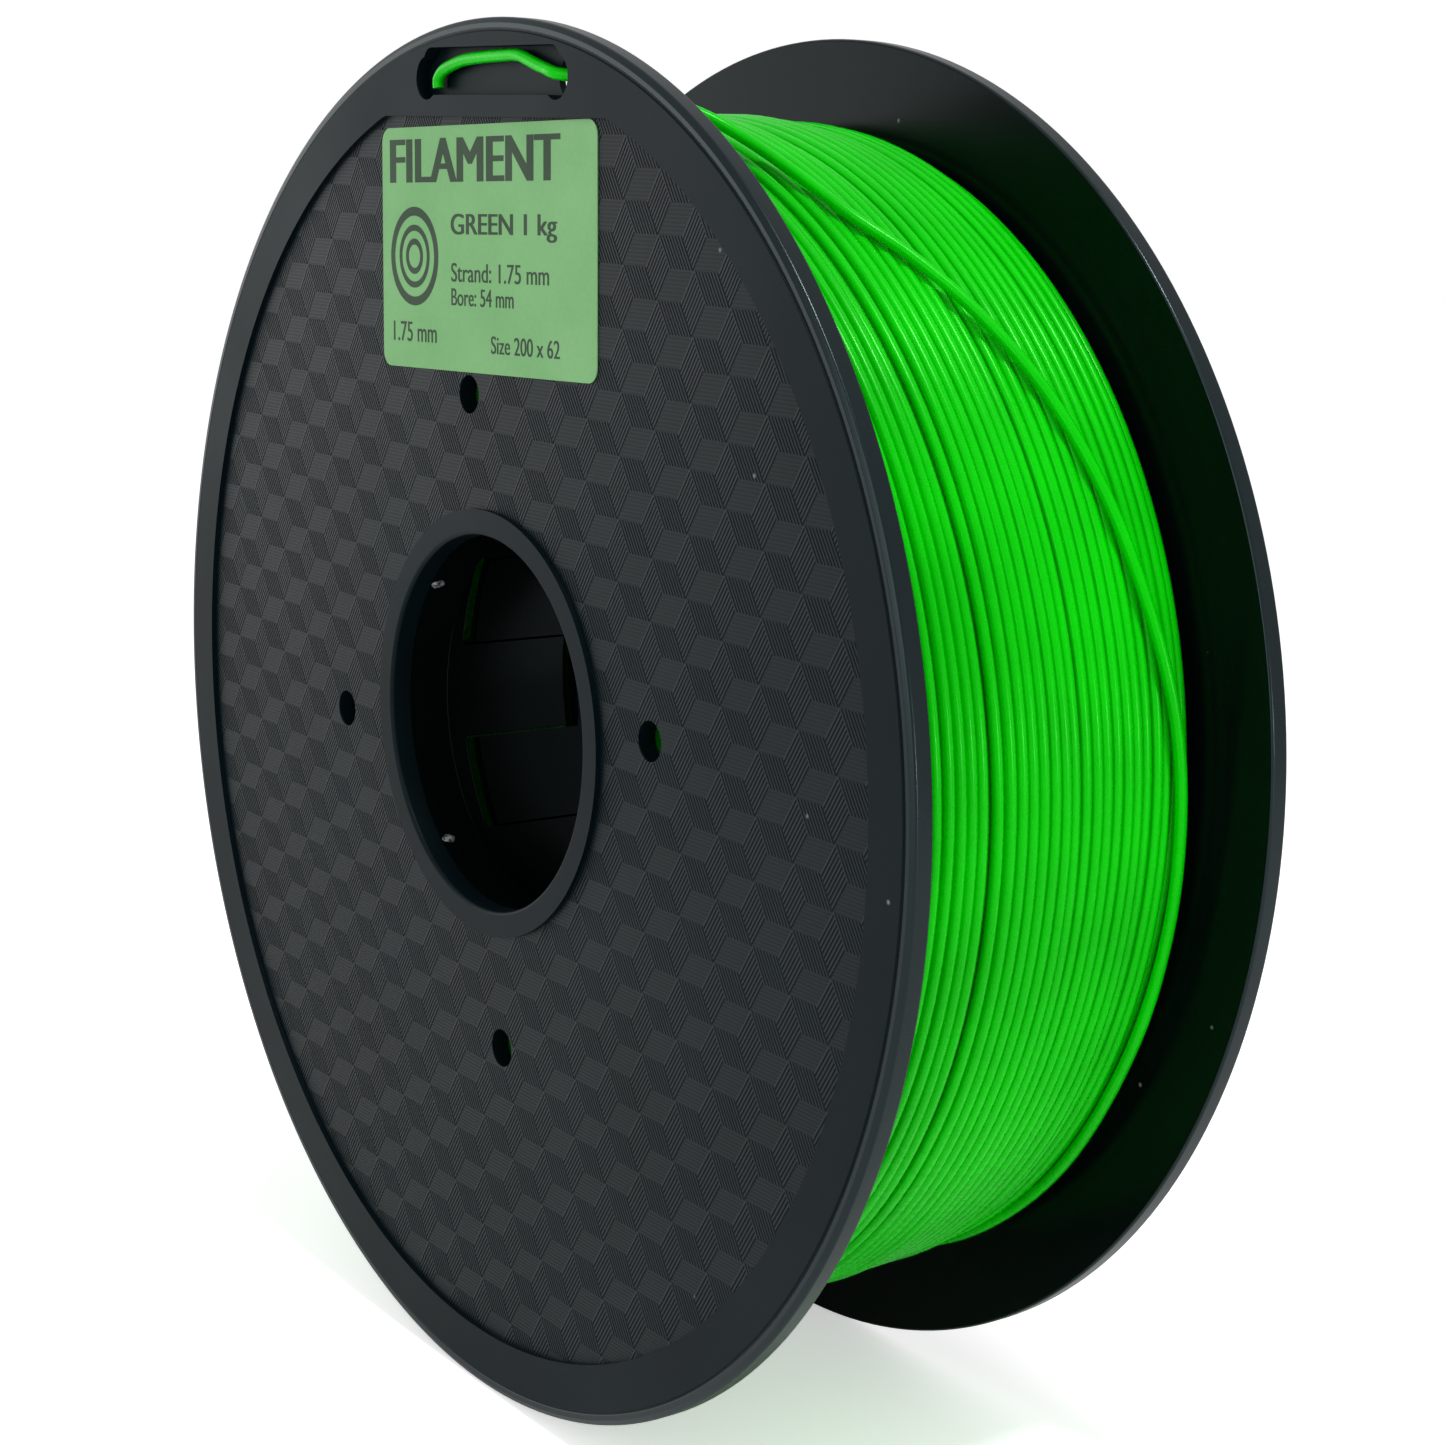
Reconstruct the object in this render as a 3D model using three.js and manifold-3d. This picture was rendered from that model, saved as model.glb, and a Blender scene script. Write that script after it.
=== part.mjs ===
// A loaded spool of 1.75 mm printing filament: two moulded halves that plug into each other,
// about a kilogram of green filament wound on the drum between them, and a paper label.
//
// Millimetres. The spool's own axis is Y. The labelled front face looks along -Y, +Z points up
// through the slot that holds the filament's end, and the origin is on the axis, midway across.
// A "depth" is measured from the front face of the half in question, towards the other half.

import * as THREE from 'three';
import { mergeVertices } from 'three/addons/utils/BufferGeometryUtils.js';
import Module from 'manifold-3d';

// ---------------------------------------------------------------- driving dimensions

const SPOOL_WIDTH = 62.2;          // over both flange faces
const FLANGE_RADIUS = 100;
const FLANGE_THICKNESS = 3.2;      // at the rim and at the hub ring

const RIM_BAND_WIDTH = 8.5;        // raised band from the rim in to the sunk field
const RIM_BEAD = 1.8;              // rounded bead that ends the band at the rim
const RIM_STEP = 0.35;             // step down from the band to the bead
const BACK_EDGE = 0.4;             // small chamfer on the rim's inner corner

const FIELD_SINK = 0.7;            // how far the patterned field lies below the band
const FIELD_CHORD_DROP = 13.7;     // from the top of the rim down to the field's flat top

const BORE_RADIUS = 27.25;
const BORE_EDGE = 0.5;             // chamfer on the bore's mouth
const HUB_RING_WIDTH = 3.75;       // raised ring round the bore
const LIP_WALL = 1.6;              // short tube behind the bore
const LIP_DEPTH = 9.8;

const DRUM_RADIUS = 40;            // outside, where the filament is wound
const DRUM_WALL = 2;
const COLLAR_DEPTH = 18.4;         // unbroken part of the front drum
const REAR_COLLAR_DEPTH = 23;      // unbroken part of the rear drum
const FINGER_END_GAP = 2.2;        // between a finger's tip and the other half's collar
const FINGERS = 8;                 // on each half, in turn round the drum
const FINGER_SIDE_GAP = 0.4;       // between neighbouring fingers
const FRONT_FINGER_ANGLE = 4.7;    // middle of one front finger, degrees from +X towards +Z

const PIN_HOLE_RADIUS = 2.75;      // four through holes round the hub
const PIN_HOLE_TALL = 7.4;         // how far the upper and lower ones are outside the drum
const PIN_HOLE_WIDE = 3.4;         // how far the left and right ones are
const PIN_HOLE_TURN = 7;           // their cross is turned this much, degrees

const SLOT_HALF_SPAN = 17.8;       // the slot's end holes are this far from the middle
const SLOT_DROP = 8.3;             // from the top of the rim down to their centres
const SLOT_END_RADIUS = 3.1;       // round recesses, as deep as the channel
const EXIT_HOLE_RADIUS = 2.8;      // the strand comes out here, at the +X end
const EXIT_HOLE_SHIFT = 0.2;
const CLIP_HOLE_RADIUS = 1.25;     // a small hole for its tip, at the other end
const CHANNEL_BELOW = 2.4;         // the shallow channel between them, below their centres
const CHANNEL_ABOVE = 4.3;         // and above
const CHANNEL_DEPTH = 2.2;

const WOUND_RADIUS = 88.4;           // outside of the wound filament
const STRAND = 1.75;               // filament diameter

const LABEL_WIDTH = 60;
const LABEL_HEIGHT = 35;
const LABEL_CORNER = 2.2;
const LABEL_THICKNESS = 0.15;
const LABEL_DROP = 0.1;            // below the field's flat top
const LABEL_OFF_CENTRE = -1.8;
const LABEL_TILT = 1.8;            // degrees, left by hand

const CLEARANCE = 0.3;             // between neighbouring loose pieces
const SEGMENTS = 72;               // facets round every turned shape
const HOLE_SEGMENTS = 12;          // half the facets round each small hole

// ---------------------------------------------------------------- materials

const blackPlastic = () => new THREE.MeshStandardMaterial({
  color: 0x1f2122, roughness: 0.42, metalness: 0,
});
const filamentGreen = () => new THREE.MeshStandardMaterial({
  color: 0x05d010, roughness: 0.3, metalness: 0,
});
const labelPaper = () => new THREE.MeshStandardMaterial({
  color: 0x6fc06a, roughness: 0.7, metalness: 0,
});

// ---------------------------------------------------------------- solids

const manifold = await Module();
manifold.setup();

function toSolid(geometry) {
  const bare = geometry.index ? geometry.toNonIndexed() : geometry.clone();
  bare.deleteAttribute('normal');
  bare.deleteAttribute('uv');
  const merged = mergeVertices(bare, 1e-4);
  return new manifold.Manifold(new manifold.Mesh({
    numProp: 3,
    vertProperties: new Float32Array(merged.attributes.position.array),
    triVerts: new Uint32Array(merged.index.array),
  }));
}

function toGeometry(solid) {
  const mesh = solid.getMesh();
  const geometry = new THREE.BufferGeometry();
  geometry.setAttribute('position', new THREE.BufferAttribute(mesh.vertProperties, 3));
  geometry.setIndex(new THREE.BufferAttribute(mesh.triVerts, 1));
  geometry.computeVertexNormals();
  return geometry;
}

const radians = THREE.MathUtils.degToRad;

// A ring turned about Y from a closed outline of [radius, y] points. Radii are to the middles of
// the facets, and a facet is centred on each of -Z, +Z, -X and +X, so the spool stands on a flat.
function turned(outline) {
  const corner = 1 / Math.cos(Math.PI / SEGMENTS);
  const points = [...outline, outline[0]].map(([r, y]) => new THREE.Vector2(r * corner, y));
  const geometry = new THREE.LatheGeometry(points, SEGMENTS, Math.PI / SEGMENTS);
  const solid = toSolid(geometry);
  if (solid.volume() > 0) return solid;
  return toSolid(new THREE.LatheGeometry(points.reverse(), SEGMENTS, Math.PI / SEGMENTS));
}

// An outline in X and Z, given as a THREE.Shape, made solid from one y to another.
function slab(shape, yLow, yHigh, curveSegments = 12) {
  const geometry = new THREE.ExtrudeGeometry(shape, {
    depth: yHigh - yLow, bevelEnabled: false, curveSegments,
  });
  geometry.rotateX(Math.PI / 2);
  geometry.translate(0, yHigh, 0);
  return toSolid(geometry);
}

function disc(x, z, radius) {
  const shape = new THREE.Shape();
  shape.absarc(x, z, radius, 0, 2 * Math.PI, false);
  return shape;
}

function rectangle(xLow, zLow, xHigh, zHigh) {
  return new THREE.Shape([
    new THREE.Vector2(xLow, zLow), new THREE.Vector2(xHigh, zLow),
    new THREE.Vector2(xHigh, zHigh), new THREE.Vector2(xLow, zHigh),
  ]);
}

// ---------------------------------------------------------------- the two halves

const HALF_WIDTH = SPOOL_WIDTH / 2;
const FIELD_RADIUS = FLANGE_RADIUS - RIM_BAND_WIDTH;
const FIELD_CHORD = FLANGE_RADIUS - FIELD_CHORD_DROP;
const HUB_RING_RADIUS = BORE_RADIUS + HUB_RING_WIDTH;
const SLOT_HEIGHT = FLANGE_RADIUS - SLOT_DROP;
const PAST = 1;                    // how far a cutter runs past the face that it cuts

// Maps a depth in the front half (-1) or the rear half (+1) to a y, as an ascending pair.
const depthToY = (side, depth) => side * (HALF_WIDTH - depth);
function span(side, depthA, depthB) {
  const ends = [depthToY(side, depthA), depthToY(side, depthB)];
  return [Math.min(...ends), Math.max(...ends)];
}
const profile = (side, points) => points.map(([r, depth]) => [r, depthToY(side, depth)]);

function flangeBlank(side) {
  const beadInner = FLANGE_RADIUS - RIM_BEAD;
  return turned(profile(side, [
    [BORE_RADIUS, FLANGE_THICKNESS],
    [BORE_RADIUS, BORE_EDGE],
    [BORE_RADIUS + BORE_EDGE, 0],
    [beadInner, 0],
    [beadInner, RIM_STEP],
    [FLANGE_RADIUS - RIM_BEAD / 3, RIM_STEP],
    [FLANGE_RADIUS, RIM_STEP + RIM_BEAD / 3],
    [FLANGE_RADIUS, FLANGE_THICKNESS - BACK_EDGE],
    [FLANGE_RADIUS - BACK_EDGE, FLANGE_THICKNESS],
  ]));
}

// The sunk, patterned field: a disc with a flat top, less the hub ring.
function fieldCutter(side) {
  const chordAngle = Math.asin(FIELD_CHORD / FIELD_RADIUS);
  const shape = new THREE.Shape();
  shape.absarc(0, 0, FIELD_RADIUS, Math.PI - chordAngle, 2 * Math.PI + chordAngle, false);
  shape.closePath();
  shape.holes.push(disc(0, 0, HUB_RING_RADIUS));
  return slab(shape, ...span(side, -PAST, FIELD_SINK), SEGMENTS);
}

function pinHoleCutters(side) {
  const [yLow, yHigh] = span(side, -PAST, FLANGE_THICKNESS + PAST);
  return [0, 1, 2, 3].map((quarter) => {
    const angle = radians(PIN_HOLE_TURN + 90 * quarter);
    const reach = DRUM_RADIUS + (quarter % 2 ? PIN_HOLE_TALL : PIN_HOLE_WIDE);
    const hole = disc(reach * Math.cos(angle), reach * Math.sin(angle), PIN_HOLE_RADIUS);
    return slab(hole, yLow, yHigh, HOLE_SEGMENTS);
  });
}

// A shallow channel with round ends, which the filament's end is tucked into. The strand comes
// out through the hole at one end, and the small hole at the other end can take its tip.
function slotCutters(side) {
  const through = span(side, -PAST, FLANGE_THICKNESS + PAST);
  const shallow = span(side, -PAST, CHANNEL_DEPTH);
  const recesses = [-SLOT_HALF_SPAN, SLOT_HALF_SPAN].map((x) => (
    slab(disc(x, SLOT_HEIGHT, SLOT_END_RADIUS), ...shallow, HOLE_SEGMENTS)
  ));
  const [low, high] = [SLOT_HEIGHT - CHANNEL_BELOW, SLOT_HEIGHT + CHANNEL_ABOVE];
  const channel = rectangle(-SLOT_HALF_SPAN, low, SLOT_HALF_SPAN, high);
  const exitHole = disc(SLOT_HALF_SPAN + EXIT_HOLE_SHIFT, SLOT_HEIGHT, EXIT_HOLE_RADIUS);
  const clipHole = disc(-SLOT_HALF_SPAN, SLOT_HEIGHT, CLIP_HOLE_RADIUS);
  const holes = [exitHole, clipHole].map((hole) => slab(hole, ...through, HOLE_SEGMENTS));
  return [...recesses, slab(channel, ...shallow), ...holes];
}

function flange(side, withSlot) {
  const cutters = [fieldCutter(side), ...pinHoleCutters(side)];
  if (withSlot) cutters.push(...slotCutters(side));
  return cutters.reduce((solid, cutter) => solid.subtract(cutter), flangeBlank(side));
}

function boreLip(side) {
  return turned(profile(side, [
    [BORE_RADIUS, FLANGE_THICKNESS],
    [BORE_RADIUS, LIP_DEPTH],
    [BORE_RADIUS + LIP_WALL, LIP_DEPTH],
    [BORE_RADIUS + LIP_WALL, FLANGE_THICKNESS],
  ]));
}

// Half of the drum: an unbroken collar, then fingers that pass between those of the other half.
function drum(side, collarDepth, otherCollarDepth, fingerAngle) {
  const tipDepth = SPOOL_WIDTH - otherCollarDepth - FINGER_END_GAP;
  const inner = DRUM_RADIUS - DRUM_WALL;
  const ring = turned(profile(side, [
    [inner, FLANGE_THICKNESS],
    [inner, tipDepth],
    [DRUM_RADIUS, tipDepth],
    [DRUM_RADIUS, FLANGE_THICKNESS],
  ]));
  const pitch = 360 / FINGERS;
  const gapAngle = pitch / 2 + THREE.MathUtils.radToDeg(FINGER_SIDE_GAP / DRUM_RADIUS);
  const [yLow, yHigh] = span(side, collarDepth, tipDepth + PAST);
  const reach = DRUM_RADIUS * 1.5;
  const notches = Array.from({ length: FINGERS }, (_, i) => {
    const middle = fingerAngle + pitch * (i + 0.5);
    const edges = [-0.5, 0.5].map((k) => radians(middle + k * gapAngle));
    const wedge = new THREE.Shape([
      new THREE.Vector2(0, 0),
      ...edges.map((a) => new THREE.Vector2(reach * Math.cos(a), reach * Math.sin(a))),
    ]);
    return slab(wedge, yLow, yHigh);
  });
  return notches.reduce((solid, notch) => solid.subtract(notch), ring);
}

// ---------------------------------------------------------------- the filament

const CHANNEL_HALF = HALF_WIDTH - FLANGE_THICKNESS;

// The wound mass, slightly crowned, as one ring between the flanges.
// The winding is fullest in the middle. Each pair is a share of its half width, and the radius there
// against the greatest one.
const CROWN = [
  [-1, -3.2], [-0.85, -1.4], [-0.6, -0.3], [-0.2, 0], [0.35, 0], [0.7, -0.4], [0.87, -1.3], [1, -3.1],
];

function winding() {
  const inner = DRUM_RADIUS + CLEARANCE;
  const half = CHANNEL_HALF - CLEARANCE;
  return turned([
    [inner, half],
    [inner, -half],
    ...CROWN.map(([across, rise]) => [WOUND_RADIUS + rise, across * half]),
  ]);
}

// The radius of a strand's centre that lies on the winding at a depth from the front face.
function onWinding(depth) {
  const share = THREE.MathUtils.clamp((depth - HALF_WIDTH) / (CHANNEL_HALF - CLEARANCE), -1, 1);
  const next = Math.max(1, CROWN.findIndex(([at]) => at >= share));
  const [[shareA, riseA], [shareB, riseB]] = [CROWN[next - 1], CROWN[next]];
  const rise = riseA + ((riseB - riseA) * (share - shareA)) / (shareB - shareA);
  return WOUND_RADIUS + rise + CLEARANCE + STRAND / 2 + 0.2;
}

// The outermost turn leaves the winding at the rear flange, crosses it towards the front flange,
// comes out through the exit hole, runs along the channel and ends over the clip hole.
// Each point is [degrees from +X towards +Z, lift off the winding, depth from the front face].
const LAST_TURN = [
  [-100, 0, 57.3], [-95, 0, 57.3], [-85, 0, 57.2], [-72, 0, 56.8], [-57, 0, 56.2], [-40, 0, 55.4],
  [-22.5, 0, 54.8], [-11.1, 0, 54.9], [-2.4, 0, 54.4], [4.8, 0, 53.5], [11.3, 0, 51.6],
  [20.1, 0, 48.5], [27.9, 0, 45.8], [36.7, 0, 41.8], [44.5, 0, 36.8], [50.9, 0, 31.7],
  [56.5, 0, 26.6], [63.1, 0, 23.6], [69.2, 0.5, 21.4], [72.4, 1.7, 18.3], [75, 3.2, 13], [76.8, 4.7, 8.4],
];
// Each point is [x, depth, z].
const IN_SLOT = CHANNEL_DEPTH - CLEARANCE - STRAND / 2;
const TUCKED_END = [
  [19.5, 4.6, 91.7], [18.3, 2.8, 91.9], [16.2, 1.1, 92.2], [13.6, IN_SLOT, 92.8], [11.2, IN_SLOT, 93.4],
  [8.8, IN_SLOT, 94.1], [6.3, IN_SLOT, 94.7], [1.2, IN_SLOT, 94.7], [-4.3, IN_SLOT, 94.5],
  [-8.7, IN_SLOT, 94.2], [-12.3, IN_SLOT, 93.5], [-14.8, IN_SLOT, 92.7], [-16.1, IN_SLOT, 91.5],
  [-16, IN_SLOT, 90.3],
];

function filamentEnd() {
  const turn = LAST_TURN.map(([degrees, lift, depth]) => {
    const radius = onWinding(depth) + lift;
    const angle = radians(degrees);
    return new THREE.Vector3(radius * Math.cos(angle), depth - HALF_WIDTH, radius * Math.sin(angle));
  });
  const tuck = TUCKED_END.map(([x, depth, z]) => new THREE.Vector3(x, depth - HALF_WIDTH, z));
  const route = new THREE.CatmullRomCurve3([...turn, ...tuck], false, 'centripetal');
  const section = new THREE.Shape();
  section.absarc(0, 0, STRAND / 2, 0, 2 * Math.PI, false);
  return new THREE.ExtrudeGeometry(section, { extrudePath: route, steps: 120, curveSegments: 4 });
}

// ---------------------------------------------------------------- the label

function label() {
  const [w, h, r] = [LABEL_WIDTH / 2, LABEL_HEIGHT / 2, LABEL_CORNER];
  const shape = new THREE.Shape();
  shape.absarc(w - r, h - r, r, 0, Math.PI / 2, false);
  shape.absarc(-w + r, h - r, r, Math.PI / 2, Math.PI, false);
  shape.absarc(-w + r, -h + r, r, Math.PI, 1.5 * Math.PI, false);
  shape.absarc(w - r, -h + r, r, 1.5 * Math.PI, 2 * Math.PI, false);
  shape.closePath();
  return slab(shape, -LABEL_THICKNESS, 0, 6);
}

// ---------------------------------------------------------------- assembly

function piece(name, geometry, material) {
  const mesh = new THREE.Mesh(geometry, material);
  mesh.name = name;
  return mesh;
}

function half(prefix, side, withSlot, collarDepth, otherCollarDepth, fingerAngle) {
  const group = new THREE.Group();
  const solids = {
    flange: flange(side, withSlot),
    bore_lip: boreLip(side),
    drum: drum(side, collarDepth, otherCollarDepth, fingerAngle),
  };
  for (const [part, solid] of Object.entries(solids)) {
    group.add(piece(`${prefix}_${part}`, toGeometry(solid), blackPlastic()));
  }
  return group;
}

const FRONT = -1;
const REAR = 1;
const REAR_FINGER_ANGLE = FRONT_FINGER_ANGLE + 180 / FINGERS;

const spool = new THREE.Group();
spool.add(half('front', FRONT, true, COLLAR_DEPTH, REAR_COLLAR_DEPTH, FRONT_FINGER_ANGLE));
spool.add(half('rear', REAR, false, REAR_COLLAR_DEPTH, COLLAR_DEPTH, REAR_FINGER_ANGLE));
spool.add(piece('filament_winding', toGeometry(winding()), filamentGreen()));
spool.add(piece('filament_end', filamentEnd(), filamentGreen()));

const paperLabel = piece('label', toGeometry(label()), labelPaper());
const tiltRise = (LABEL_WIDTH / 2 - LABEL_CORNER) * Math.sin(radians(LABEL_TILT));
paperLabel.position.set(
  LABEL_OFF_CENTRE,
  -HALF_WIDTH + FIELD_SINK,
  FIELD_CHORD - LABEL_DROP - tiltRise - LABEL_HEIGHT / 2,
);
paperLabel.rotation.y = -radians(LABEL_TILT);
spool.add(paperLabel);

export default spool;
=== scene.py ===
# %% [markdown]
# # A full spool of printing filament
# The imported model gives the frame: the spool's axis is Y, the labelled face looks along -Y, and +Z
# points up through the slot. Everything here is in metres and sits where that frame says.

# %% Load the frame
import math

import bpy
from mathutils import Matrix, Vector


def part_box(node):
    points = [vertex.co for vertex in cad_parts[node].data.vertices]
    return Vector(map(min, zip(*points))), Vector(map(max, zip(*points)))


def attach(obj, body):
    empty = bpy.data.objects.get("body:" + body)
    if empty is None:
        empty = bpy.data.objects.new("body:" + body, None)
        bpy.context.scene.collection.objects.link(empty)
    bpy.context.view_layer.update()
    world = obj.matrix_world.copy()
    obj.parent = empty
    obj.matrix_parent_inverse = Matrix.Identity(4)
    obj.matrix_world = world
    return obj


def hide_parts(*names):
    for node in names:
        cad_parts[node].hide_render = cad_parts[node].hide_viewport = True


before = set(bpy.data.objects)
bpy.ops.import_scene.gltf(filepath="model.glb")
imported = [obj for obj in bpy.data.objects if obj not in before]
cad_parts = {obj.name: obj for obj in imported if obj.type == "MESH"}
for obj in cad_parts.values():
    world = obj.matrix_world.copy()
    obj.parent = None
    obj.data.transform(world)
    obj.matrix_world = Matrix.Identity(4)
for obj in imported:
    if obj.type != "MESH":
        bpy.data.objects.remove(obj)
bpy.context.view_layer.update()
MM = 0.001
print("nodes:", sorted(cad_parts))

# %% [markdown]
# ## Sizes taken from the frame
# A turned part is described by radii and by depths from its own outer face. The radii and depths of
# the big steps come from the boxes of the CAD nodes, so the shells below always fit the frame.

# %% Measure the frame
low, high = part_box("front_flange")
RIM = high.x
FRONT_FACE, FLANGE_BACK = low.y, high.y
FLANGE_THICK = FLANGE_BACK - FRONT_FACE
HALF_WIDTH = -FRONT_FACE
low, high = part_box("front_bore_lip")
LIP_DEPTH = high.y - FRONT_FACE
low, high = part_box("front_drum")
DRUM = high.x
FRONT_TIP = high.y - FRONT_FACE
REAR_TIP = HALF_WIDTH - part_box("rear_drum")[0].y
low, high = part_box("filament_winding")
WOUND = high.x
WOUND_FRONT, WOUND_REAR = low.y, high.y
BORE = 27.25 * MM
LIP_WALL = 1.6 * MM
DRUM_WALL = 2 * MM
STRAND = 1.75 * MM
print("rim", RIM, "half width", HALF_WIDTH, "drum", DRUM, "wound", WOUND)

# %% [markdown]
# ## Camera
# The spool stands close to the lens, a little below eye level, and is seen from the right, so the
# camera is placed by its turn, its height angle and a slight roll. The small lens shift keeps the
# spool in the middle of the frame without turning the camera.

# %% Camera
TURN, RISE, ROLL = math.radians(52.57), math.radians(8.84), math.radians(1.84)
ASIDE, LIFT, DISTANCE = 28.34 * MM, 15.78 * MM, 421.23 * MM


def camera_axes(turn, rise, roll):
    back = Vector((math.sin(turn) * math.cos(rise), -math.cos(turn) * math.cos(rise), math.sin(rise)))
    right = Vector((math.cos(turn), math.sin(turn), 0))
    up = back.cross(right)
    return (
        math.cos(roll) * right + math.sin(roll) * up,
        math.cos(roll) * up - math.sin(roll) * right,
        back,
    )


right, up, back = camera_axes(TURN, RISE, ROLL)
camera = bpy.data.objects.new("camera", bpy.data.cameras.new("camera"))
bpy.context.scene.collection.objects.link(camera)
camera.matrix_world = (
    Matrix.Translation(ASIDE * right + LIFT * up + DISTANCE * back)
    @ Matrix((right, up, back)).transposed().to_4x4()
)
camera.data.sensor_width = 36
camera.data.lens = 69.57
camera.data.shift_x, camera.data.shift_y = -0.088, -0.085
camera.data.clip_start = 0.01
bpy.context.scene.camera = camera
print("camera at", camera.location[:])

# %% [markdown]
# ## Materials
# Real materials vary: plastic carries a fine grain, dust and scuffs, and printed paper shows its
# fibres. Dust and scuffs, and the hatched cubes, are node groups, each built once with its own inputs,
# so that every material places them with values of its own; grain and fibres are noise in each
# material. A small helper adds a node and links its inputs, which keeps the node code short.

# %% Node helper
def node(tree, kind, values=None, **settings):
    made = tree.nodes.new(kind)
    for name, value in settings.items():
        setattr(made, name, value)
    for name, value in (values or {}).items():
        if isinstance(value, bpy.types.NodeSocket):
            tree.links.new(value, made.inputs[name])
        else:
            made.inputs[name].default_value = value
    return made


def calculate(tree, operation, a, b=0.0, c=0.0):
    return node(tree, "ShaderNodeMath", {0: a, 1: b, 2: c}, operation=operation).outputs[0]


def blend_colour(tree, factor, a, b):
    mixed = node(tree, "ShaderNodeMix", {"Factor": factor}, data_type="RGBA")
    for socket, value in ((mixed.inputs[6], a), (mixed.inputs[7], b)):
        if isinstance(value, bpy.types.NodeSocket):
            tree.links.new(value, socket)
        else:
            socket.default_value = value
    return mixed.outputs[2]


def ramp(tree, factor, start, end, low=0.0, high=1.0):
    return node(tree, "ShaderNodeMapRange", {
        "Value": factor, "From Min": start, "From Max": end, "To Min": low, "To Max": high,
    }).outputs[0]


def new_group(name, inputs, outputs):
    tree = bpy.data.node_groups.new(name, "ShaderNodeTree")
    for side, sockets in (("INPUT", inputs), ("OUTPUT", outputs)):
        for socket_name, kind, value in sockets:
            socket = tree.interface.new_socket(socket_name, in_out=side, socket_type=kind)
            if value is not None:
                socket.default_value = value
    return tree, tree.nodes.new("NodeGroupInput"), tree.nodes.new("NodeGroupOutput")


FLOAT, VECTOR = "NodeSocketFloat", "NodeSocketVector"

# %% [markdown]
# ### Dust and scuffs
# Black plastic shows every speck. Sparse dots are the centres of a Voronoi pattern, each cell kept at
# random as the amount allows, and a broad noise gives a haze that roughens the surface.

# %% Dust group
def dust_group():
    tree, start, end = new_group(
        "dust and scuffs",
        [("Place", VECTOR, None), ("Size", FLOAT, 260.0), ("Amount", FLOAT, 0.5)],
        [("Specks", FLOAT, None), ("Haze", FLOAT, None)],
    )
    place, size, amount = (start.outputs[k] for k in ("Place", "Size", "Amount"))
    cells = node(tree, "ShaderNodeTexVoronoi", {"Vector": place, "Scale": size})
    dots = ramp(tree, cells.outputs["Distance"], 0.09, 0.03)
    chosen = node(tree, "ShaderNodeSeparateColor", {0: cells.outputs["Color"]}).outputs[0]
    kept = calculate(tree, "LESS_THAN", chosen, amount)
    specks = calculate(tree, "MULTIPLY", dots, kept)
    broad = node(tree, "ShaderNodeTexNoise", {"Vector": place, "Scale": 22.0, "Detail": 5.0})
    tree.links.new(specks, end.inputs["Specks"])
    tree.links.new(ramp(tree, broad.outputs["Fac"], 0.35, 0.7), end.inputs["Haze"])
    return tree


DUST = dust_group()
print(DUST.name, "has", len(DUST.nodes), "nodes")

# %% [markdown]
# ### The hatched cube pattern
# The sunk field of each flange is moulded with a pattern of stacked cubes. Every cube has three
# lozenges, and each lozenge is filled with fine parallel lines in a direction of its own, which is
# what makes it look light or dark. Three slanted coordinates, `a`, `b` and `c`, cut the plane into
# lozenges: their whole parts say which of the three a point lies in, and their fractions count
# across its lines. That is exact arithmetic, so it stays sharp at any size, with no image.

# %% Cube pattern group
CUBE_ACROSS = 8.31 * MM
CUBE_DOWN = 8.4 * MM
CUBE_START = (50.9 * MM, 33.8 * MM)
LINES_PER_EDGE = 8


def cube_group():
    tree, start, end = new_group(
        "hatched cubes", [("Place", VECTOR, None)],
        [("Lines", FLOAT, None), ("Leaning", FLOAT, None), ("Flat", FLOAT, None)],
    )
    split = node(tree, "ShaderNodeSeparateXYZ", {0: start.outputs["Place"]})
    x = calculate(tree, "SUBTRACT", split.outputs["X"], CUBE_START[0])
    z = calculate(tree, "SUBTRACT", split.outputs["Z"], CUBE_START[1])
    across = calculate(tree, "MULTIPLY", x, 1.5 / CUBE_ACROSS)
    down = calculate(tree, "MULTIPLY", z, 1 / CUBE_DOWN)
    a = calculate(tree, "SUBTRACT", across, down)
    b = calculate(tree, "MULTIPLY", down, -2.0)
    c = calculate(tree, "ADD", across, down)
    whole = {k: calculate(tree, "FLOOR", v) for k, v in (("a", a), ("b", b), ("c", c))}

    def is_kind(value, remainder):
        left = calculate(tree, "FLOORED_MODULO", value, 3.0)
        return calculate(tree, "COMPARE", left, remainder, 0.1)

    leaning = is_kind(calculate(tree, "SUBTRACT", whole["b"], whole["c"]), 0.0)
    flat = is_kind(calculate(tree, "ADD", whole["a"], whole["b"]), 2.0)
    upright = calculate(tree, "SUBTRACT", calculate(tree, "SUBTRACT", 1.0, leaning), flat)
    count = calculate(tree, "MULTIPLY", c, leaning)
    count = calculate(tree, "MULTIPLY_ADD", a, upright, count)
    count = calculate(tree, "MULTIPLY_ADD", b, flat, count)
    wave = calculate(tree, "SINE", calculate(tree, "MULTIPLY", count, 2 * math.pi * LINES_PER_EDGE))
    tree.links.new(ramp(tree, wave, -1.0, 1.0), end.inputs["Lines"])
    tree.links.new(leaning, end.inputs["Leaning"])
    tree.links.new(flat, end.inputs["Flat"])
    return tree


CUBES = cube_group()
print(CUBES.name, "has", len(CUBES.nodes), "nodes")

# %% [markdown]
# ### Starting a material
# Every material starts the same way: one Principled shader, and a pattern place that is fixed to the
# piece. Two helpers put a group into it and turn a height into a bump.

# %% Material helpers
def place_group(tree, group, values):
    made = tree.nodes.new("ShaderNodeGroup")
    made.node_tree = group
    for name, value in values.items():
        if isinstance(value, bpy.types.NodeSocket):
            tree.links.new(value, made.inputs[name])
        else:
            made.inputs[name].default_value = value
    return made


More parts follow.
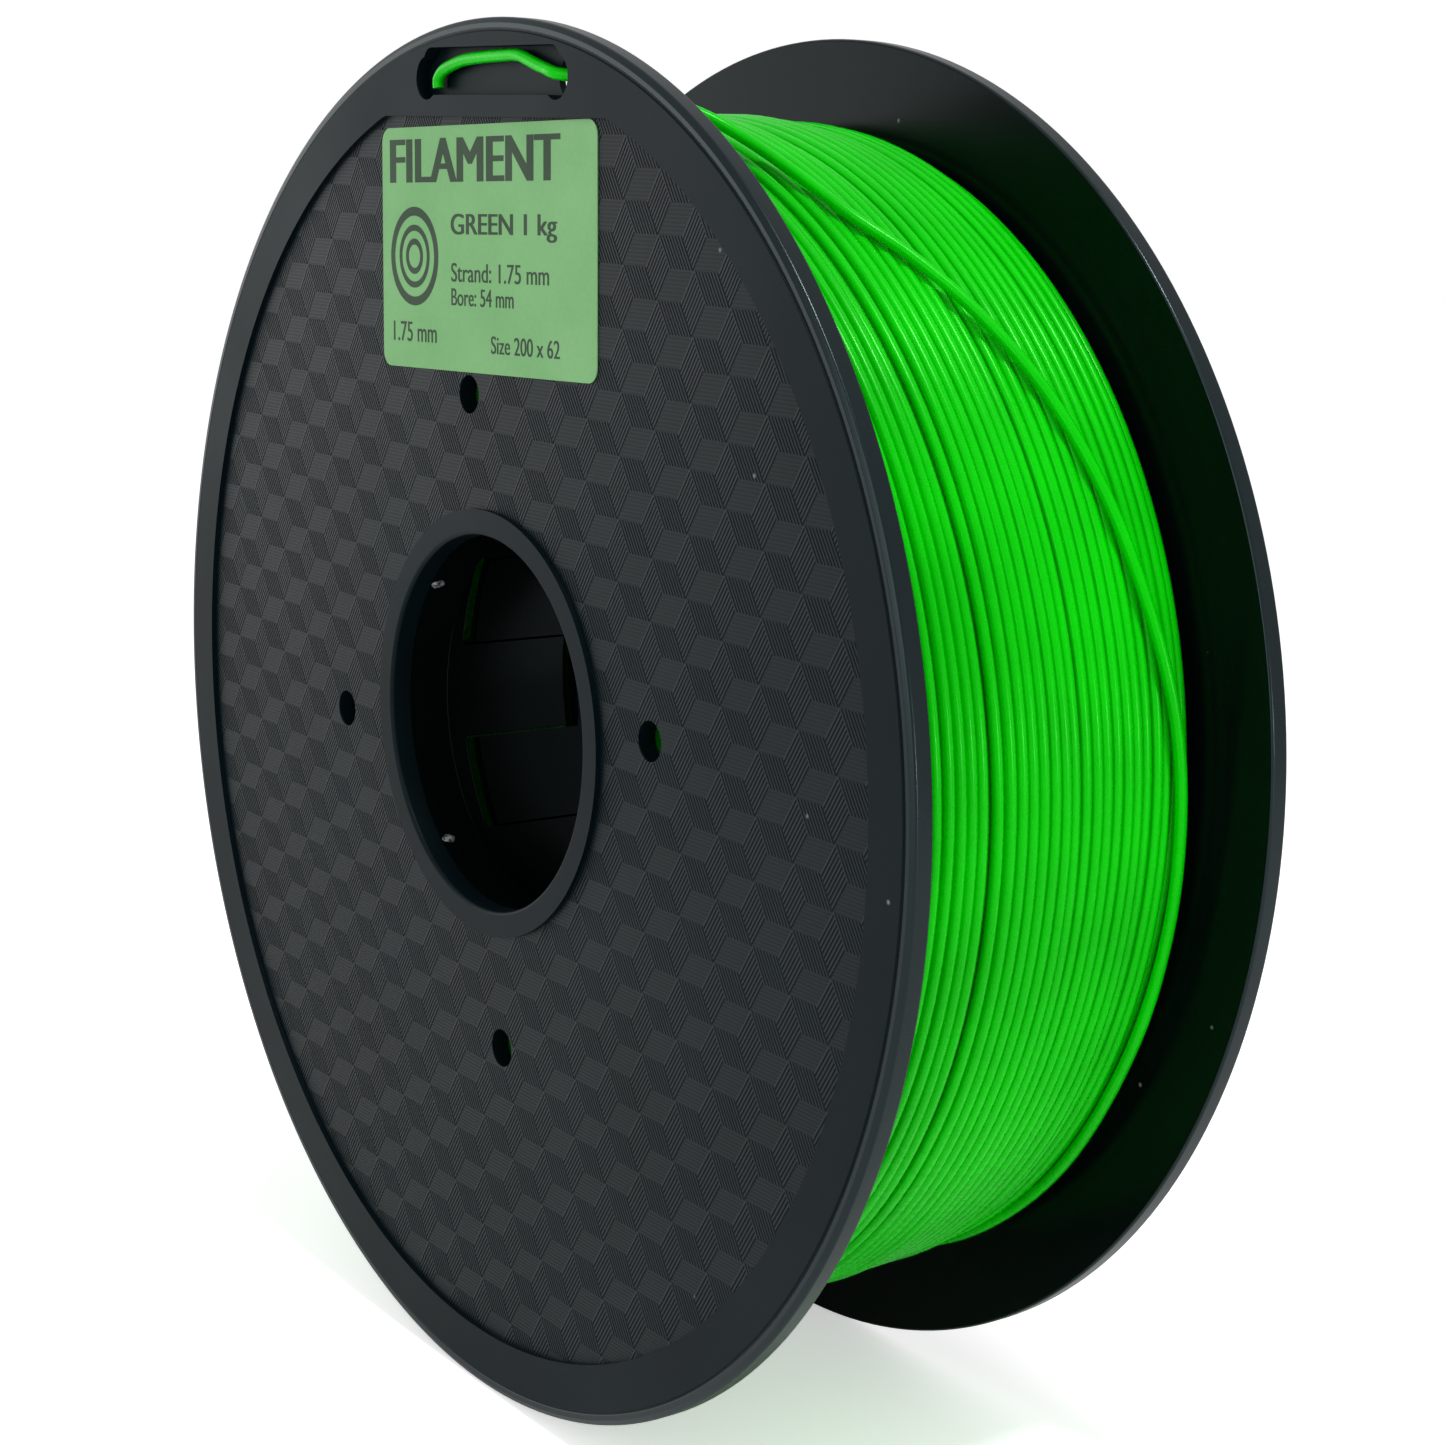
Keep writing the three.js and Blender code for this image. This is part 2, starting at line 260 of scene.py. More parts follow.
def new_material(name):
    material = bpy.data.materials.new(name)
    material.use_nodes = True
    tree = material.node_tree
    tree.nodes.clear()
    shader = tree.nodes.new("ShaderNodeBsdfPrincipled")
    output = tree.nodes.new("ShaderNodeOutputMaterial")
    tree.links.new(shader.outputs[0], output.inputs[0])
    place = tree.nodes.new("ShaderNodeTexCoord").outputs["Object"]
    return material, tree, shader, place


def raise_surface(tree, shader, height, strength, distance):
    bump = node(tree, "ShaderNodeBump", {"Height": height, "Strength": strength, "Distance": distance})
    tree.links.new(bump.outputs[0], shader.inputs["Normal"])

# %% [markdown]
# ### Black plastic, in four finishes
# One moulding shows four finishes: satin on the rim and hub, the hatched cubes in the sunk field, a
# polished inside, and a glossy bead at the rim. They share grain and dust, so one function makes all
# four. The hatched field is made of fine ridges, and a ridge shines where the gap beside it doesn't,
# so there a thin coat gives the shine and the pattern says how much of it each place has.

# %% Black plastic
BLACK = (0.0008, 0.0042, 0.0058, 1)
HATCH_BLACK = (0.0003, 0.0040, 0.0056, 1)
INSIDE_BLACK = (0.0010, 0.0026, 0.0024, 1)
DUST_GREY = (0.16, 0.165, 0.165, 1)
CREST_IOR = 1.27


def black_plastic(name, black, roughness, gloss, specks, hatched=False):
    material, tree, shader, place = new_material(name)
    dust = place_group(tree, DUST, {"Place": place, "Size": 230.0, "Amount": specks})
    tone = node(tree, "ShaderNodeTexNoise", {"Vector": place, "Scale": 60.0, "Detail": 4.0})
    shade = ramp(tree, tone.outputs["Fac"], 0.3, 0.7, 0.85, 1.15)
    grain = node(tree, "ShaderNodeTexNoise", {"Vector": place, "Scale": 2600.0, "Detail": 2.0})
    height = calculate(tree, "MULTIPLY", grain.outputs["Fac"], 0.12)
    rough = ramp(tree, dust.outputs["Haze"], 0.0, 1.0, roughness, roughness + 0.08)
    if hatched:
        cubes = place_group(tree, CUBES, {"Place": place})
        lines = cubes.outputs["Lines"]
        flat = cubes.outputs["Flat"]
        height = calculate(tree, "MULTIPLY_ADD", lines, ramp(tree, flat, 0, 1, 2.0, 0.7), height)
        valley = ramp(tree, flat, 0, 1, 0.0, 0.5)
        crest = ramp(tree, flat, 0, 1, 1.0, 0.72)
        crest = calculate(tree, "MULTIPLY", crest, ramp(tree, cubes.outputs["Leaning"], 0, 1, 1.0, 0.8))
        sheen = node(tree, "ShaderNodeMapRange", {
            "Value": lines, "From Min": 0.4, "From Max": 0.75, "To Min": valley, "To Max": crest,
        })
        tree.links.new(sheen.outputs[0], shader.inputs["Coat Weight"])
        shader.inputs["Coat Roughness"].default_value = roughness
        shader.inputs["Coat IOR"].default_value = CREST_IOR
    base = node(tree, "ShaderNodeVectorMath", {0: black[:3], "Scale": shade}, operation="SCALE")
    colour = blend_colour(tree, dust.outputs["Specks"], base.outputs[0], DUST_GREY)
    tree.links.new(colour, shader.inputs["Base Color"])
    tree.links.new(rough, shader.inputs["Roughness"])
    raise_surface(tree, shader, height, 0.6, 0.12 * MM)
    shader.inputs["Specular IOR Level"].default_value = gloss
    shader.inputs["Specular Tint"].default_value = (0.75, 0.96, 1.0, 1)
    return material


SATIN = black_plastic("satin black plastic", BLACK, 0.42, 0.12, 0.05)
HATCHED = black_plastic("hatched black plastic", HATCH_BLACK, 0.42, 0.05, 0.04, hatched=True)
POLISHED = black_plastic("polished black plastic", INSIDE_BLACK, 0.2, 0.10, 0.03)
EDGE = black_plastic("glossy black edge", BLACK, 0.24, 0.35, 0.03)
print("black finishes:", [finish.name for finish in (SATIN, HATCHED, POLISHED, EDGE)])

# %% [markdown]
# ### Green filament
# The strand is extruded, so it is smooth, with a sheen that varies a little along it. Its highlights
# are tinted green. The turns underneath get a much darker green: painted shade, as little light gets
# there.

# %% Green filament
GREEN = (0.0, 0.60, 0.0, 1)
GREEN_DEEP = (0.0, 0.49, 0.0, 1)
# painted shade: a near-black green for the turns below, which little light reaches
GREEN_PAINTED_SHADE = (0.0, 0.06, 0.0, 1)


def green_filament(name, deep, bright):
    material, tree, shader, place = new_material(name)
    tone = node(tree, "ShaderNodeTexNoise", {"Vector": place, "Scale": 45.0, "Detail": 3.0})
    colour = blend_colour(tree, ramp(tree, tone.outputs["Fac"], 0.35, 0.65), deep, bright)
    tree.links.new(colour, shader.inputs["Base Color"])
    fine = node(tree, "ShaderNodeTexNoise", {"Vector": place, "Scale": 900.0, "Detail": 3.0})
    tree.links.new(ramp(tree, fine.outputs["Fac"], 0.3, 0.7, 0.24, 0.32), shader.inputs["Roughness"])
    raise_surface(tree, shader, fine.outputs["Fac"], 0.05, 0.02 * MM)
    shader.inputs["Specular IOR Level"].default_value = 0.35
    shader.inputs["Specular Tint"].default_value = (0.3, 1.0, 0.3, 1)
    return material


FILAMENT = green_filament("green filament", GREEN_DEEP, GREEN)
# painted shade: the turns under the outer coils get the near-black green
PAINTED_SHADE_TURNS = green_filament("painted shade turns", GREEN_PAINTED_SHADE, GREEN_PAINTED_SHADE)
print("filament materials:", FILAMENT.name, "and", PAINTED_SHADE_TURNS.name)

# %% [markdown]
# ### Label paper and its ink
# The label is thin matt paper, so fibres show as a faint mottle and the ink sits a hair above it.

# %% Paper and ink
PAPER = (0.172, 0.395, 0.155, 1)
PAPER_PALE = (0.21, 0.445, 0.19, 1)
INK = (0.022, 0.045, 0.024, 1)


def paper_like(name, dark, pale, roughness):
    material, tree, shader, place = new_material(name)
    fibre = node(tree, "ShaderNodeTexNoise", {"Vector": place, "Scale": 1500.0, "Detail": 4.0})
    broad = node(tree, "ShaderNodeTexNoise", {"Vector": place, "Scale": 90.0, "Detail": 3.0})
    mottle = calculate(tree, "MULTIPLY_ADD", fibre.outputs["Fac"], 0.6, broad.outputs["Fac"])
    colour = blend_colour(tree, ramp(tree, mottle, 0.55, 1.05), dark, pale)
    tree.links.new(colour, shader.inputs["Base Color"])
    rough = ramp(tree, fibre.outputs["Fac"], 0.3, 0.7, roughness - 0.06, roughness)
    tree.links.new(rough, shader.inputs["Roughness"])
    raise_surface(tree, shader, fibre.outputs["Fac"], 0.2, 0.04 * MM)
    shader.inputs["Specular IOR Level"].default_value = 0.2
    return material


LABEL_PAPER = paper_like("label paper", PAPER, PAPER_PALE, 0.72)
LABEL_INK = paper_like("label ink", INK, tuple(1.5 * v for v in INK[:3]) + (1,), 0.6)
print("label materials:", LABEL_PAPER.name, "and", LABEL_INK.name)

# %% [markdown]
# ## Turned shells
# Flanges, bore lips and drums are all turned shapes. Each starts as a single point, which is extruded
# step by step along half of its section, and the outline is then spun round the spool's axis. Corner
# points carry a radius, and a short arc replaces them, because a moulding has no knife edges and it
# is those small rounds that catch the light.

# %% Turning helpers
STEPS_ROUND = 240


def only(piece):
    bpy.ops.object.select_all(action="DESELECT")
    piece.select_set(True)
    bpy.context.view_layer.objects.active = piece


def rounded(corners, pieces=4):
    points = []
    count = len(corners)
    for i, (radius, depth, round_by) in enumerate(corners):
        here = Vector((radius, depth))
        before = (Vector(corners[i - 1][:2]) - here).normalized()
        after = (Vector(corners[(i + 1) % count][:2]) - here).normalized()
        if not round_by:
            points.append(here)
            continue
        half = before.angle(after) / 2
        reach = round_by / math.tan(half)
        middle = here + (before + after).normalized() * round_by / math.sin(half)
        first, last = here + before * reach - middle, here + after * reach - middle
        for k in range(pieces + 1):
            points.append(middle + first.slerp(last, k / pieces) * round_by)
    return points


def turned(name, side, corners):
    outline = [Vector((p.x, side * (HALF_WIDTH - p.y), 0)) for p in rounded(corners)]
    bpy.ops.object.select_all(action="DESELECT")
    bpy.ops.mesh.primitive_plane_add(size=STRAND)
    piece = bpy.context.object
    piece.name = name
    bpy.ops.object.mode_set(mode="EDIT")
    bpy.ops.mesh.select_all(action="SELECT")
    bpy.ops.mesh.merge(type="CENTER")
    bpy.ops.transform.translate(value=outline[0])
    for here, there in zip(outline, outline[1:] + outline[:1]):
        bpy.ops.mesh.extrude_vertices_move(TRANSFORM_OT_translate={"value": there - here})
    bpy.ops.mesh.select_all(action="SELECT")
    bpy.ops.mesh.remove_doubles(threshold=1e-6)
    bpy.ops.mesh.spin(steps=STEPS_ROUND, angle=2 * math.pi, center=(0, 0, 0), axis=(0, 1, 0))
    bpy.ops.mesh.select_all(action="SELECT")
    bpy.ops.mesh.remove_doubles(threshold=1e-6)
    bpy.ops.mesh.normals_make_consistent(inside=False)
    bpy.ops.object.mode_set(mode="OBJECT")
    return piece


# %% [markdown]
# ## Cutting and joining
# Holes, notches and the sunk field are cut with rods and blocks. Each cutter is a primitive of the
# right size at the right place, and a Boolean modifier takes it away and is applied at once. Pieces
# of one material that belong together are joined.

# %% Cutting helpers
def apply_place(piece):
    only(piece)
    bpy.ops.object.transform_apply(location=True, rotation=True, scale=True)


def cut(piece, cutter):
    tool = piece.modifiers.new("cut", "BOOLEAN")
    tool.operation, tool.solver, tool.object = "DIFFERENCE", "EXACT", cutter
    only(piece)
    bpy.ops.object.modifier_apply(modifier=tool.name)
    bpy.data.objects.remove(cutter)


def rod(radius, x, z, y_low, y_high, sides=32):
    bpy.ops.object.select_all(action="DESELECT")
    bpy.ops.mesh.primitive_cylinder_add(
        vertices=sides, radius=radius, depth=y_high - y_low,
        location=(x, (y_low + y_high) / 2, z), rotation=(math.pi / 2, 0, 0),
    )
    apply_place(bpy.context.object)
    return bpy.context.object


def block(x_low, x_high, y_low, y_high, z_low, z_high):
    bpy.ops.object.select_all(action="DESELECT")
    bpy.ops.mesh.primitive_cube_add(
        size=1, location=((x_low + x_high) / 2, (y_low + y_high) / 2, (z_low + z_high) / 2),
        scale=(x_high - x_low, y_high - y_low, z_high - z_low),
    )
    apply_place(bpy.context.object)
    return bpy.context.object


def join(pieces, kept, name):
    bpy.ops.object.select_all(action="DESELECT")
    for piece in pieces:
        piece.select_set(True)
    bpy.context.view_layer.objects.active = kept
    bpy.ops.object.join()
    kept.name = name
    return kept


# %% [markdown]
# ## Finishing a piece
# A cut leaves a knife edge, so the edges that show are picked by their place and bevelled. Then the
# piece is shaded smooth by angle, with larger faces given more say in the normals, which keeps flat
# faces flat beside a bevel. Last it takes the place of its CAD node.

# %% Finishing helpers
def round_edges(piece, is_edge, width, segments=2):
    only(piece)
    bpy.ops.object.mode_set(mode="EDIT")
    bpy.ops.mesh.select_mode(type="EDGE")
    bpy.ops.mesh.select_all(action="DESELECT")
    bpy.ops.object.mode_set(mode="OBJECT")
    mesh = piece.data
    picked = 0
    for edge in mesh.edges:
        ends = [mesh.vertices[i].co for i in edge.vertices]
        edge.select = is_edge(*ends)
        picked += edge.select
    bpy.ops.object.mode_set(mode="EDIT")
    bpy.ops.mesh.bevel(offset=width, segments=segments, affect="EDGES", clamp_overlap=True)
    bpy.ops.mesh.select_mode(type="VERT")
    bpy.ops.object.mode_set(mode="OBJECT")
    print(piece.name, "rounded", picked, "edges")


def finish_piece(piece, cad_node, angle=32):
    only(piece)
    bpy.ops.object.shade_smooth_by_angle(angle=math.radians(angle))
    weigh = piece.modifiers.new("weigh", "WEIGHTED_NORMAL")
    weigh.keep_sharp = True
    bpy.ops.object.modifier_apply(modifier=weigh.name)
    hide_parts(cad_node)
    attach(piece, "root")
    print(piece.name, len(piece.data.polygons), "faces")


# %% [markdown]
# ### Flanges
# A flange is one turned disc: a raised band at the rim with a small bead at its edge, and a raised
# ring at the hub. The field between them is sunk and has a flat top. Then come four pin holes and, in
# front only, the slot that holds the filament's end: a shallow channel with round ends, a hole right
# through that the strand comes out of, and a smaller one for its tip.

# %% Flange sizes
FRONT, REAR = -1, 1
FIELD = RIM - 8.5 * MM
FIELD_SINK = 0.7 * MM
FIELD_TOP = RIM - 13.7 * MM
HUB_RING = BORE + 3.75 * MM
PIN_HOLE = 2.75 * MM
PIN_HOLE_TURN = math.radians(7)
PIN_HOLE_REACH = (DRUM + 3.4 * MM, DRUM + 7.4 * MM)
SLOT_Z = RIM - 8.3 * MM
SLOT_HALF = 17.8 * MM
SLOT_END = 3.1 * MM
CHANNEL_LOW, CHANNEL_HIGH = SLOT_Z - 2.4 * MM, SLOT_Z + 4.3 * MM
CHANNEL_DEPTH = 2.2 * MM
CHANNEL_CORNER = 2.2 * MM
EXIT_HOLE, EXIT_SHIFT, CLIP_HOLE = 2.8 * MM, 0.2 * MM, 1.25 * MM
BEAD = 1.65 * MM
PAST = 1 * MM


def depths(side, first, last):
    ends = side * (HALF_WIDTH - first), side * (HALF_WIDTH - last)
    return min(ends), max(ends)


print("field", FIELD, "hub ring", HUB_RING, "slot at", SLOT_Z)

# %% [markdown]
# The field's flat top can't be turned, so the field is cut afterwards with a disc that has been
# bisected and has the hub ring left out. The holes and the slot are cut with rods and a block.

# %% Flange cutters
def field_cutter(side):
    y_low, y_high = depths(side, -PAST, FIELD_SINK)
    disc = rod(FIELD, 0, 0, y_low, y_high, STEPS_ROUND)
    only(disc)
    bpy.ops.object.mode_set(mode="EDIT")
    bpy.ops.mesh.select_all(action="SELECT")
    bpy.ops.mesh.bisect(
        plane_co=(0, 0, FIELD_TOP), plane_no=(0, 0, 1), clear_outer=True, use_fill=True,
    )
    bpy.ops.object.mode_set(mode="OBJECT")
    cut(disc, rod(HUB_RING, 0, 0, y_low - PAST, y_high + PAST, STEPS_ROUND))
    return disc


def pin_hole_centres():
    for quarter in range(4):
        angle = PIN_HOLE_TURN + quarter * math.pi / 2
        reach = PIN_HOLE_REACH[quarter % 2]
        yield reach * math.cos(angle), reach * math.sin(angle)


def cut_slot(piece, side, through):
    channel = depths(side, -PAST, CHANNEL_DEPTH)
    trough = block(-SLOT_HALF - 1 * MM, SLOT_HALF + 1 * MM, *channel, CHANNEL_LOW, CHANNEL_HIGH)
    round_edges(trough, lambda p, q: abs(p.y - q.y) > 1 * MM, CHANNEL_CORNER, segments=6)
    cut(piece, trough)
    for x in (-SLOT_HALF, SLOT_HALF):
        cut(piece, rod(SLOT_END, x, SLOT_Z, *channel))
    cut(piece, rod(EXIT_HOLE, SLOT_HALF + EXIT_SHIFT, SLOT_Z, *through))
    cut(piece, rod(CLIP_HOLE, -SLOT_HALF, SLOT_Z, *through, sides=20))


# %% [markdown]
# The edges to round are found by where they lie: on the rim or hub side of the field, round a pin
# hole at the field's level, or round the slot at the face.

# %% Flange edges
NEAR = 0.05 * MM


def round_field(piece, face_y):
    def is_lip(p, q):
        if abs(p.y - face_y) > NEAR or abs(q.y - face_y) > NEAR:
            return False
        reach = [math.hypot(v.x, v.z) for v in (p, q)]
        on_ring = all(abs(r - FIELD) < NEAR or abs(r - HUB_RING) < NEAR for r in reach)
        on_top = all(abs(v.z - FIELD_TOP) < NEAR for v in (p, q))
        return (on_ring and (q - p).length < 5 * MM) or on_top

    round_edges(piece, is_lip, 0.28 * MM)


def round_pin_holes(piece, field_y):
    centres = list(pin_hole_centres())

    def is_lip(p, q):
        for x, z in centres:
            reach = [abs(math.hypot(v.x - x, v.z - z) - PIN_HOLE) for v in (p, q)]
            if max(reach) < NEAR and all(abs(v.y - field_y) < NEAR for v in (p, q)):
                return True
        return False

    round_edges(piece, is_lip, 0.35 * MM)


def round_slot(piece, face_y):
    def is_lip(p, q):
        if any(abs(v.y - face_y) > NEAR for v in (p, q)):
            return False
        middle = (p + q) / 2
        inside = abs(middle.x) < SLOT_HALF + SLOT_END + NEAR
        return inside and SLOT_Z - SLOT_END - NEAR < middle.z < CHANNEL_HIGH + NEAR

    round_edges(piece, is_lip, 0.25 * MM)


# %% [markdown]
# The disc is turned, cut and rounded, and each face then gets its finish by its place: hatched on the
# field's floor, polished on the inner side, glossy on the rim's bead, and satin on the rest.

# %% Make both flanges
def paint(piece, finishes, choose):
    for finish in finishes:
        piece.data.materials.append(finish)
    for face in piece.data.polygons:
        face.material_index = choose(face.center, face.normal)


def flange(name, side, with_slot):
    thick = FLANGE_THICK
    piece = turned(name, side, [
        (BORE, thick, 0), (BORE, 0, 0.6 * MM), (RIM - 1.95 * MM, 0, 0.12 * MM),
        (RIM - 1.85 * MM, 0.2 * MM, 0.05 * MM), (RIM - 1.6 * MM, 0.2 * MM, 0.05 * MM),
        (RIM - 1.45 * MM, 0.12 * MM, 0.15 * MM), (RIM - 0.8 * MM, 0.12 * MM, 0.3 * MM),
        (RIM, 0.5 * MM, 0.5 * MM), (RIM, thick, 0.45 * MM),
    ])
    through = depths(side, -PAST, thick + PAST)
    cut(piece, field_cutter(side))
    for x, z in pin_hole_centres():
        cut(piece, rod(PIN_HOLE, x, z, *through))
    if with_slot:
        cut_slot(piece, side, through)
    face_y, field_y = side * HALF_WIDTH, side * (HALF_WIDTH - FIELD_SINK)
    round_field(piece, face_y)
    round_pin_holes(piece, field_y)
    if with_slot:
        round_slot(piece, face_y)

    def finish_of(centre, normal):
        if abs(centre.y - field_y) < NEAR and abs(normal.y) > 0.9:
            return 1
        if normal.y * side < -0.9 and abs(centre.y) < HALF_WIDTH - thick + NEAR:
            return 2
        return 3 if math.hypot(centre.x, centre.z) > RIM - BEAD else 0

    paint(piece, (SATIN, HATCHED, POLISHED, EDGE), finish_of)
    return piece


finish_piece(flange("front_flange_shell", FRONT, True), "front_flange")
finish_piece(flange("rear_flange_shell", REAR, False), "rear_flange")

# %% [markdown]
# ### Bore lips
# Behind each bore a short tube stiffens the flange. Its free edge is rounded.

# %% Bore lips
for side, label in ((FRONT, "front"), (REAR, "rear")):
    lip = turned(f"{label}_bore_tube", side, [
        (BORE, FLANGE_THICK, 0), (BORE, LIP_DEPTH, 0.3 * MM),
        (BORE + LIP_WALL, LIP_DEPTH, 0.4 * MM), (BORE + LIP_WALL, FLANGE_THICK, 0),
    ])
    lip.data.materials.append(POLISHED)
    finish_piece(lip, f"{label}_bore_lip")

# %% [markdown]
# ### Drums
# Each half carries a ring that is unbroken near its flange and then splits into eight fingers, which
# pass between the fingers of the other half. The ring is turned, the notches are cut with one wedge
# that is turned round the axis, and the edges that show through the bore are rounded.

# %% Finger cutter
FINGERS = 8
FINGER_GAP = 0.4 * MM
FRONT_FINGER = math.radians(4.7)
COLLARS = {FRONT: 18.4 * MM, REAR: 23 * MM}


def wedge(angle, spread, y_low, y_high):
    reach = 1.5 * DRUM
    cutter = rod(reach, 0, 0, y_low, y_high, 3)
    edges = (angle - spread / 2, angle + spread / 2)
    corners = [(0, 0)] + [(reach * math.cos(a), reach * math.sin(a)) for a in edges]
    order = sorted({(round(v.co.x, 6), round(v.co.z, 6)) for v in cutter.data.vertices})
    for vertex in cutter.data.vertices:
        corner = corners[order.index((round(vertex.co.x, 6), round(vertex.co.z, 6)))]
        vertex.co.x, vertex.co.z = corner
    only(cutter)
    bpy.ops.object.mode_set(mode="EDIT")
    bpy.ops.mesh.select_all(action="SELECT")
    bpy.ops.mesh.normals_make_consistent(inside=False)
    bpy.ops.object.mode_set(mode="OBJECT")
    return cutter


# %% [markdown]
# The front half's fingers and the rear half's are alike, and half a step apart.

# %% Drums
def drum(name, side, tip, first_finger):
    inner = DRUM - DRUM_WALL
    piece = turned(name, side, [
        (inner, FLANGE_THICK, 0), (inner, tip, 0.25 * MM), (DRUM, tip, 0.25 * MM), (DRUM, FLANGE_THICK, 0),
    ])
    spread = math.pi / FINGERS + FINGER_GAP / DRUM
    for k in range(FINGERS):
        angle = first_finger + (k + 0.5) * 2 * math.pi / FINGERS
        cut(piece, wedge(angle, spread, *depths(side, COLLARS[side], tip + PAST)))

    y_collar = side * (HALF_WIDTH - COLLARS[side])

    def notch_edge(p, q):
        inside = all(abs(math.hypot(v.x, v.z) - inner) < NEAR for v in (p, q))
        at_collar = all(abs(v.y - y_collar) < NEAR for v in (p, q))
        return inside and at_collar

    round_edges(piece, notch_edge, 0.3 * MM)
    piece.data.materials.append(POLISHED)
    return piece


finish_piece(drum("front_drum_ring", FRONT, FRONT_TIP, FRONT_FINGER), "front_drum")
finish_piece(
    drum("rear_drum_ring", REAR, REAR_TIP, FRONT_FINGER + math.pi / FINGERS), "rear_drum",
)

# %% [markdown]
# ## The wound filament
# The coil is one strand, so it is modelled as one. A real winding machine never lays it evenly: the
# wound body is crowned, full in the middle and lower near the flanges, and its turns lie in bands.
# Between two bands there is a groove, where the strand drops towards the layer below. A formula says
# where the strand's centre is at any turn, which is shorter and easier to change than moved points.

# %% Path of the strand
ROOM = WOUND_REAR - WOUND_FRONT
GROOVES = ((0.10, 0.9), (0.335, 1.1), (0.60, 1.2), (0.855, 1.0))
GROOVE_WIDTH = 0.85 * MM
GROOVE_DROP = 0.75 * MM
BAND_LIFTS = (0.0, -0.15, 0.2, -0.1, 0.1)
DRIFT, WANDER = 10 * MM, 0.09 * MM
SINK = 0.2 * MM
CROWN = (
    (-1, -3.2), (-0.85, -1.4), (-0.6, -0.3), (-0.2, 0), (0.35, 0), (0.7, -0.4), (0.87, -1.3), (1, -3.1),
)


def crown_rise(y):
    share = min(max(y / WOUND_REAR, -1), 1)
    for (left, low), (right, high) in zip(CROWN, CROWN[1:]):
        if share <= right:
            return (low + (high - low) * (share - left) / (right - left)) * MM


def smooth_step(value):
    value = min(max(value, 0.0), 1.0)
    return value * value * (3 - 2 * value)


def strand_centre(turns, total_turns, seed, drop):
    angle = 2 * math.pi * turns
    share = turns / total_turns
    opened, deep, total, lift = 0.0, 0.0, 0.0, BAND_LIFTS[0]
    for k, (place, weight) in enumerate(GROOVES):
        width = weight * (0.65 + 0.35 * math.cos(angle - 0.3 - 1.1 * k + seed))
        past = smooth_step((share - place) * total_turns / 1.2 + 0.5)
        opened += width * past
        total += width
        lift += past * (BAND_LIFTS[k + 1] - BAND_LIFTS[k])
        deep += width * math.exp(-(((share - place) * total_turns) / 0.9) ** 2)
    pitch_room = ROOM - STRAND - total * GROOVE_WIDTH
    across = WOUND_FRONT + STRAND / 2 + share * pitch_room + opened * GROOVE_WIDTH
    across -= DRIFT * share * (1 - share) * math.sin(angle - 0.1)
    across += WANDER * math.sin(3 * angle + 2.1 * turns + seed)
    uneven = 0.10 * math.sin(angle + 0.9 * turns + seed) + 0.06 * math.sin(2 * angle + 2.3 * turns) + lift
    radius = WOUND + crown_rise(across) - STRAND / 2 - drop - SINK + uneven * MM - deep * GROOVE_DROP
    return angle, across, radius


print("room between the flanges for the coil:", ROOM)

# %% [markdown]
# A small circle is swept round the axis by a Screw modifier, which gives a plain coil with the right
# faces. Each ring of the sweep is then set on the strand's path.

# %% Coil
TURN_STEPS = 150
SECTION_SIDES = 8


def coil(name, total_turns, seed, drop):
    bpy.ops.object.select_all(action="DESELECT")
    bpy.ops.mesh.primitive_circle_add(
        vertices=SECTION_SIDES, radius=STRAND / 2, fill_type="NOTHING", location=(WOUND, 0, 0),
    )
    piece = bpy.context.object
    piece.name = name
    apply_place(piece)
    section = [(v.co.x - WOUND, v.co.y) for v in piece.data.vertices]
    sweep = piece.modifiers.new("sweep", "SCREW")
    sweep.axis, sweep.angle, sweep.iterations = "Y", 2 * math.pi * total_turns, 1
    sweep.steps = sweep.render_steps = round(TURN_STEPS * total_turns)
    sweep.screw_offset = STRAND * total_turns
    bpy.ops.object.modifier_apply(modifier=sweep.name)
    for i, vertex in enumerate(piece.data.vertices):
        step, corner = divmod(i, SECTION_SIDES)
        angle, across, radius = strand_centre(step / TURN_STEPS, total_turns, seed, drop)
        out, along = section[corner]
        vertex.co = ((radius + out) * math.cos(angle), across + along, (radius + out) * math.sin(angle))
    bpy.ops.object.mode_set(mode="EDIT")
    bpy.ops.mesh.select_all(action="DESELECT")
    bpy.ops.mesh.select_non_manifold()
    bpy.ops.mesh.edge_face_add()
    bpy.ops.mesh.select_all(action="SELECT")
    bpy.ops.mesh.normals_make_consistent(inside=False)
    bpy.ops.object.mode_set(mode="OBJECT")
    print(name, len(piece.data.vertices), "vertices for", round(total_turns, 2), "turns")
    return piece


# %% [markdown]
# The outer coil is what shows. A second one, a layer deeper, fills the grooves, and a plain turned
# core stands for all the turns below; its near-black green is painted shade. The outer coil ends at the
# angle where the last turn begins.

# %% Winding
TURNS = 29 - 100 / 360
UNDER_LAYER = 1.45 * MM
outer_coil = coil("filament_coil", TURNS, 0.0, 0.0)
under_coil = coil("filament_under_coil", TURNS, 2.0, UNDER_LAYER)
core = turned("filament_core", FRONT, [
    (DRUM + 0.3 * MM, WOUND_FRONT + HALF_WIDTH, 0), (WOUND - 6.4 * MM, WOUND_FRONT + HALF_WIDTH, 0),
    (WOUND - 3.6 * MM, HALF_WIDTH - 18 * MM, 0), (WOUND - 3.4 * MM, HALF_WIDTH, 0),
    (WOUND - 3.8 * MM, HALF_WIDTH + 18 * MM, 0), (WOUND - 6.4 * MM, WOUND_REAR + HALF_WIDTH, 0),
    (DRUM + 0.3 * MM, WOUND_REAR + HALF_WIDTH, 0),
])
# the core takes the painted-shade green
core.data.materials.append(PAINTED_SHADE_TURNS)
under_coil.data.materials.append(FILAMENT)
outer_coil.data.materials.append(FILAMENT)
winding = join((core, under_coil, outer_coil), outer_coil, "filament_coil")
finish_piece(winding, "filament_winding", angle=60)

